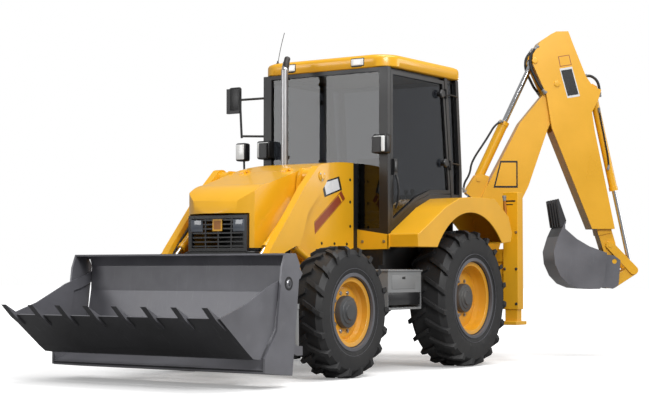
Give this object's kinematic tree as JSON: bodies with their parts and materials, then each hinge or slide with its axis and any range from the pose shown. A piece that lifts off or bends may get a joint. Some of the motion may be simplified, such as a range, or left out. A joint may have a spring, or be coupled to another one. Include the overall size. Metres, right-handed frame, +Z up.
{
  "type": "backhoe loader",
  "caption": "Backhoe loader with a clamshell front bucket on lift arms, a glazed cab, a slewing side-shift backhoe with telescopic dipper, and drop stabiliser legs.",
  "frame": {"origin": "bottom centre of the bounding box, on the ground", "axes": "+X forward to the loader bucket, +Y to the machine's left, +Z up"},
  "size_m": [7.2908, 3.0138, 3.735],
  "materials": {
    "black_paint": "satin black paint",
    "bucket_grey": "worn satin grey paint",
    "chrome_rod": "polished hard chrome",
    "exhaust_steel": "heat-stained black",
    "grey_paint": "satin grey paint",
    "lamp_glass": "clear lamp lens",
    "rim_yellow": "semi-gloss yellow paint",
    "seat_cover": "black woven cover",
    "tinted_glass": "grey tinted safety glass",
    "tyre_rubber": "matte black rubber",
    "yellow_paint": "semi-gloss yellow paint"
  },
  "bodies": {
    "chassis": {"cab_frame": "black_paint", "cab_glass": "tinted_glass", "cab_roof": "yellow_paint", "chassis_frame": "yellow_paint", "dash_and_wheel": "black_paint", "engine_block": "black_paint", "exhaust_stack": "exhaust_steel", "fenders": "yellow_paint", "front_axle": "black_paint", "grille": "black_paint", "lamps": "lamp_glass", "mirror": "black_paint", "nose_weight": "black_paint", "rear_axle": "black_paint", "rear_cowl": "yellow_paint", "rear_frame": "yellow_paint", "seat": "seat_cover", "step_box_and_tank": "grey_paint"},
    "knuckle_left": {"knuckle_left": "black_paint"},
    "front_wheel_left": {"tyre_front_left": "tyre_rubber", "rim_front_left": "rim_yellow"},
    "rear_wheel_left": {"tyre_rear_left": "tyre_rubber", "rim_rear_left": "rim_yellow"},
    "door_left": {"door_left": "black_paint", "door_glass_left": "tinted_glass"},
    "stabiliser_leg_left": {"stabiliser_leg_left": "yellow_paint"},
    "knuckle_right": {"knuckle_right": "black_paint"},
    "front_wheel_right": {"tyre_front_right": "tyre_rubber", "rim_front_right": "rim_yellow"},
    "rear_wheel_right": {"tyre_rear_right": "tyre_rubber", "rim_rear_right": "rim_yellow"},
    "door_right": {"door_right": "black_paint", "door_glass_right": "tinted_glass"},
    "stabiliser_leg_right": {"stabiliser_leg_right": "yellow_paint"},
    "bonnet": {"bonnet": "yellow_paint"},
    "loader_arms": {"loader_arms": "yellow_paint"},
    "lift_barrels": {"lift_barrels": "grey_paint"},
    "lift_rods": {"lift_rods": "chrome_rod"},
    "tilt_barrels": {"tilt_barrels": "grey_paint"},
    "tilt_rods": {"tilt_rods": "chrome_rod"},
    "loader_bucket": {"loader_bucket": "bucket_grey"},
    "clam_jaw": {"clam_jaw": "bucket_grey"},
    "clam_barrels": {"clam_barrels": "grey_paint"},
    "clam_rods": {"clam_rods": "chrome_rod"},
    "side_shift_carriage": {"side_shift_carriage": "yellow_paint"},
    "kingpost": {"kingpost": "yellow_paint"},
    "boom": {"boom": "yellow_paint"},
    "boom_ram_barrel": {"boom_ram_barrel": "yellow_paint"},
    "boom_ram_rod": {"boom_ram_rod": "chrome_rod"},
    "dipper": {"dipper": "yellow_paint"},
    "crowd_ram_barrel": {"crowd_ram_barrel": "yellow_paint"},
    "crowd_ram_rod": {"crowd_ram_rod": "chrome_rod"},
    "inner_dipper": {"inner_dipper": "yellow_paint"},
    "scoop_ram_barrel": {"scoop_ram_barrel": "yellow_paint"},
    "scoop_ram_rod": {"scoop_ram_rod": "chrome_rod"},
    "tipping_lever": {"tipping_lever": "yellow_paint"},
    "tipping_link": {"tipping_link": "yellow_paint"},
    "hoe_bucket": {"hoe_bucket": "bucket_grey"}
  },
  "joints": [
    {"name": "steer_left", "type": "hinge", "parent": "chassis", "child": "knuckle_left", "pos_m": [1.39537, 0.40111, 0.605], "axis": [0, 0, 1], "range_deg": [-20, 20]},
    {"name": "front_wheel_left", "type": "hinge", "parent": "knuckle_left", "child": "front_wheel_left", "pos_m": [1.39537, 0.60111, 0.605], "axis": [0, 1, 0], "continuous": true},
    {"name": "rear_wheel_left", "type": "hinge", "parent": "chassis", "child": "rear_wheel_left", "pos_m": [-0.77463, 0.62611, 0.7], "axis": [0, 1, 0], "continuous": true},
    {"name": "steer_right", "type": "hinge", "parent": "chassis", "child": "knuckle_right", "pos_m": [1.39537, -0.99889, 0.605], "axis": [0, 0, 1], "range_deg": [-20, 20]},
    {"name": "front_wheel_right", "type": "hinge", "parent": "knuckle_right", "child": "front_wheel_right", "pos_m": [1.39537, -1.19889, 0.605], "axis": [0, 1, 0], "continuous": true},
    {"name": "rear_wheel_right", "type": "hinge", "parent": "chassis", "child": "rear_wheel_right", "pos_m": [-0.77463, -1.22389, 0.7], "axis": [0, 1, 0], "continuous": true},
    {"name": "door_left", "type": "hinge", "parent": "chassis", "child": "door_left", "pos_m": [-0.93563, 0.47511, 1.79], "axis": [0.1137, 0, 0.9935], "range_deg": [0, 80]},
    {"name": "door_right", "type": "hinge", "parent": "chassis", "child": "door_right", "pos_m": [-0.93563, -1.07289, 1.79], "axis": [-0.1137, 0, -0.9935], "range_deg": [0, 80]},
    {"name": "bonnet", "type": "hinge", "parent": "chassis", "child": "bonnet", "pos_m": [1.33337, -0.29889, 1.941], "axis": [0, -1, 0], "range_deg": [0, 50]},
    {"name": "loader_lift", "type": "hinge", "parent": "chassis", "child": "loader_arms", "pos_m": [1.28537, -0.29889, 1.87], "axis": [0, -1, 0], "range_deg": [-3, 75]},
    {"name": "lift_barrel_turn", "type": "hinge", "parent": "chassis", "child": "lift_barrels", "pos_m": [0.72537, -0.29889, 0.8], "axis": [0, -1, 0], "range_deg": [-1.19, 19.86]},
    {"name": "lift_rod_slide", "type": "slide", "parent": "lift_barrels", "child": "lift_rods", "axis": [0.8982, 0, 0.4396], "range_m": [-0.04854, 0.81345]},
    {"name": "loader_tilt", "type": "hinge", "parent": "loader_arms", "child": "loader_bucket", "pos_m": [2.39537, -0.29889, 0.36], "axis": [0, -1, 0], "range_deg": [-45, 20]},
    {"name": "tilt_barrel_turn", "type": "hinge", "parent": "loader_arms", "child": "tilt_barrels", "pos_m": [1.40037, -0.29889, 1.73], "axis": [0, -1, 0], "range_deg": [-3.26, 7.07]},
    {"name": "tilt_rod_slide", "type": "slide", "parent": "tilt_barrels", "child": "tilt_rods", "axis": [0.7348, 0, -0.6783], "range_m": [-0.13582, 0.29512]},
    {"name": "clam_jaw", "type": "hinge", "parent": "loader_bucket", "child": "clam_jaw", "pos_m": [2.62037, -0.29889, 0.875], "axis": [0, -1, 0], "range_deg": [0, 60]},
    {"name": "clam_barrel_turn", "type": "hinge", "parent": "loader_bucket", "child": "clam_barrels", "pos_m": [2.41037, -0.29889, 0.3], "axis": [0, -1, 0], "range_deg": [-1.2, 0.03]},
    {"name": "clam_rod_slide", "type": "slide", "parent": "clam_barrels", "child": "clam_rods", "axis": [0.0152, 0, 0.9999], "range_m": [-0.22158, 0.00444]},
    {"name": "stabiliser_left", "type": "slide", "parent": "chassis", "child": "stabiliser_leg_left", "axis": [0, 0, -1], "range_m": [0, 0.43]},
    {"name": "stabiliser_right", "type": "slide", "parent": "chassis", "child": "stabiliser_leg_right", "axis": [0, 0, -1], "range_m": [0, 0.43]},
    {"name": "side_shift", "type": "slide", "parent": "chassis", "child": "side_shift_carriage", "axis": [0, 1, 0], "range_m": [-0.45, 0.45]},
    {"name": "slew", "type": "hinge", "parent": "side_shift_carriage", "child": "kingpost", "pos_m": [-2.19463, -0.29889, 0.89], "axis": [0, 0, -1], "range_deg": [-130, 30]},
    {"name": "boom", "type": "hinge", "parent": "kingpost", "child": "boom", "pos_m": [-2.41627, -0.01521, 0.8], "axis": [-0.788, -0.6157, 0], "range_deg": [-3, 65]},
    {"name": "boom_ram_barrel_turn", "type": "hinge", "parent": "kingpost", "child": "boom_ram_barrel", "pos_m": [-2.29621, -0.16887, 1.04], "axis": [-0.788, -0.6157, 0], "range_deg": [-4.69, 71.27]},
    {"name": "boom_ram_rod_slide", "type": "slide", "parent": "boom_ram_barrel", "child": "boom_ram_rod", "axis": [-0.0755, 0.0966, 0.9925], "range_m": [-0.02075, 0.31433]},
    {"name": "dipper", "type": "hinge", "parent": "boom", "child": "dipper", "pos_m": [-2.96728, 0.69006, 3.125], "axis": [0.788, 0.6157, 0], "range_deg": [-2, 72]},
    {"name": "crowd_ram_barrel_turn", "type": "hinge", "parent": "boom", "child": "crowd_ram_barrel", "pos_m": [-2.41319, -0.01915, 2.03], "axis": [0.788, 0.6157, 0], "range_deg": [-3.53, 0.17]},
    {"name": "crowd_ram_rod_slide", "type": "slide", "parent": "crowd_ram_barrel", "child": "crowd_ram_rod", "axis": [-0.2638, 0.3377, 0.9035], "range_m": [-0.44329, 0.02109]},
    {"name": "dipper_extension", "type": "slide", "parent": "dipper", "child": "inner_dipper", "axis": [-0.1215, 0.1556, -0.9803], "range_m": [0, 0.9]},
    {"name": "hoe_bucket", "type": "hinge", "parent": "inner_dipper", "child": "hoe_bucket", "pos_m": [-3.36747, 1.20227, 1.088], "axis": [0.788, 0.6157, 0], "range_deg": [-2, 70]},
    {"name": "tipping_lever_turn", "type": "hinge", "parent": "inner_dipper", "child": "tipping_lever", "pos_m": [-3.34284, 1.17075, 1.275], "axis": [0.788, 0.6157, 0], "range_deg": [-2.05, 42.44]},
    {"name": "tipping_link_turn", "type": "hinge", "parent": "tipping_lever", "child": "tipping_link", "pos_m": [-3.51215, 1.38745, 0.988], "axis": [0.788, 0.6157, 0], "range_deg": [-6.18, 0.3]},
    {"name": "scoop_ram_barrel_turn", "type": "hinge", "parent": "inner_dipper", "child": "scoop_ram_barrel", "pos_m": [-3.24125, 1.04073, 3.08], "axis": [0.788, 0.6157, 0], "range_deg": [-0.28, 5.63]},
    {"name": "scoop_ram_rod_slide", "type": "slide", "parent": "scoop_ram_barrel", "child": "scoop_ram_rod", "axis": [-0.1267, 0.1622, -0.9786], "range_m": [-0.20765, 0.01009]}
  ],
  "couplings": [
    {"joint": "steer_right", "follows": "steer_left", "ratio": 1},
    {"joint": "lift_barrel_turn", "follows": "loader_lift", "ratio": 0.25931},
    {"joint": "lift_rod_slide", "follows": "loader_lift", "m_per_rad": 0.60869},
    {"joint": "tilt_barrel_turn", "follows": "loader_tilt", "ratio": -0.15258},
    {"joint": "tilt_rod_slide", "follows": "loader_tilt", "m_per_rad": -0.36508},
    {"joint": "clam_barrel_turn", "follows": "clam_jaw", "ratio": -0.019429},
    {"joint": "clam_rod_slide", "follows": "clam_jaw", "m_per_rad": -0.20735},
    {"joint": "boom_ram_barrel_turn", "follows": "boom", "ratio": 1.0738},
    {"joint": "boom_ram_rod_slide", "follows": "boom", "m_per_rad": 0.27131},
    {"joint": "crowd_ram_barrel_turn", "follows": "dipper", "ratio": -0.048015},
    {"joint": "crowd_ram_rod_slide", "follows": "dipper", "m_per_rad": -0.34557},
    {"joint": "tipping_lever_turn", "follows": "hoe_bucket", "ratio": 0.59402},
    {"joint": "tipping_link_turn", "follows": "hoe_bucket", "ratio": -0.086405},
    {"joint": "scoop_ram_barrel_turn", "follows": "hoe_bucket", "ratio": 0.078761},
    {"joint": "scoop_ram_rod_slide", "follows": "hoe_bucket", "m_per_rad": -0.16645}
  ]
}
